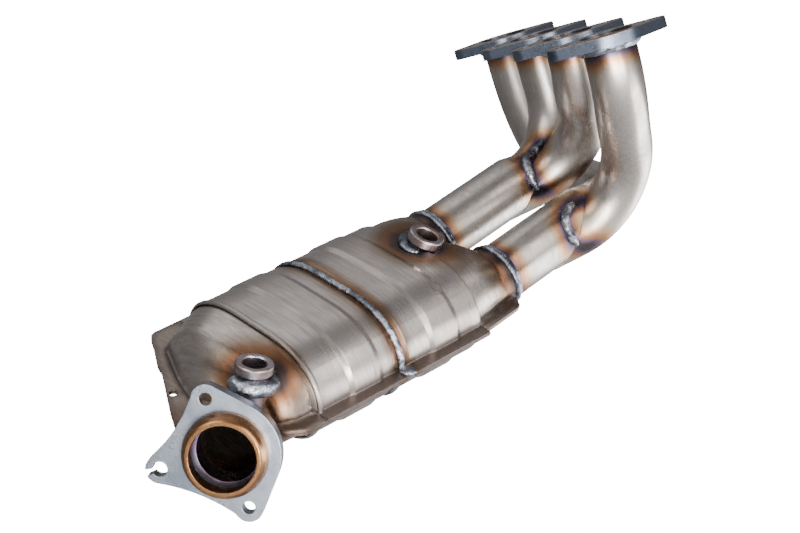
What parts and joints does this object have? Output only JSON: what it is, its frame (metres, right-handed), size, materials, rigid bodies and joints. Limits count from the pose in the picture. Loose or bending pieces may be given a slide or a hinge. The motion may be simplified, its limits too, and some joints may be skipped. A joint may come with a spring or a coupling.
{
  "type": "catalytic converter",
  "caption": "Exhaust manifold with a close-coupled catalytic converter: head flanges, bent tubes that merge in pairs, an oval welded can, sensor bosses and an outlet flange with a sealing ring.",
  "frame": {"origin": "middle of the row of ports, on the face that meets the cylinder head", "axes": "+X along the row from port 1 to port 4, +Y across the row toward the side away from the can, +Z out of the head face"},
  "size_m": [0.4037, 0.4335, 0.2273],
  "materials": {
    "shell": "satin brushed stainless, heat-tinted near the welds",
    "tube": "satin stainless tube, heat-tinted near the welds",
    "flange": "machined steel plate, blue-grey",
    "outlet_flange": "zinc-plated steel plate",
    "weld": "weld metal, pitted, with heat tint beside it",
    "boss": "turned steel, straw heat tint",
    "ring": "copper-gold coated sealing ring",
    "brick": "coated ceramic honeycomb",
    "mat": "ceramic fibre mat"
  },
  "bodies": {
    "root": {"head_flange_1": "flange", "head_flange_2": "flange", "head_flange_3": "flange", "head_flange_4": "flange", "primary_tube_1": "tube", "primary_tube_2": "tube", "primary_tube_3": "tube", "primary_tube_4": "tube", "head_weld_1": "weld", "head_weld_2": "weld", "head_weld_3": "weld", "head_weld_4": "weld", "secondary_pipe_front": "tube", "crotch_weld_front": "weld", "neck_weld_front": "weld", "sensor_boss_front": "boss", "boss_weld_front": "weld", "secondary_pipe_rear": "tube", "crotch_weld_rear": "weld", "neck_weld_rear": "weld", "sensor_boss_rear": "boss", "boss_weld_rear": "weld", "upper_outlet_shell": "shell", "upper_outlet_cone": "shell", "upper_inlet_shell": "shell", "upper_inlet_cone": "shell", "lower_outlet_shell": "shell", "lower_outlet_cone": "shell", "lower_inlet_shell": "shell", "lower_inlet_cone": "shell", "outlet_brick": "brick", "outlet_mat": "mat", "inlet_brick": "brick", "inlet_mat": "mat", "body_weld": "weld", "outlet_pipe": "tube", "outlet_flange": "outlet_flange", "sealing_ring": "ring", "outlet_weld": "weld", "outlet_neck_weld": "weld"}
  },
  "joints": []
}
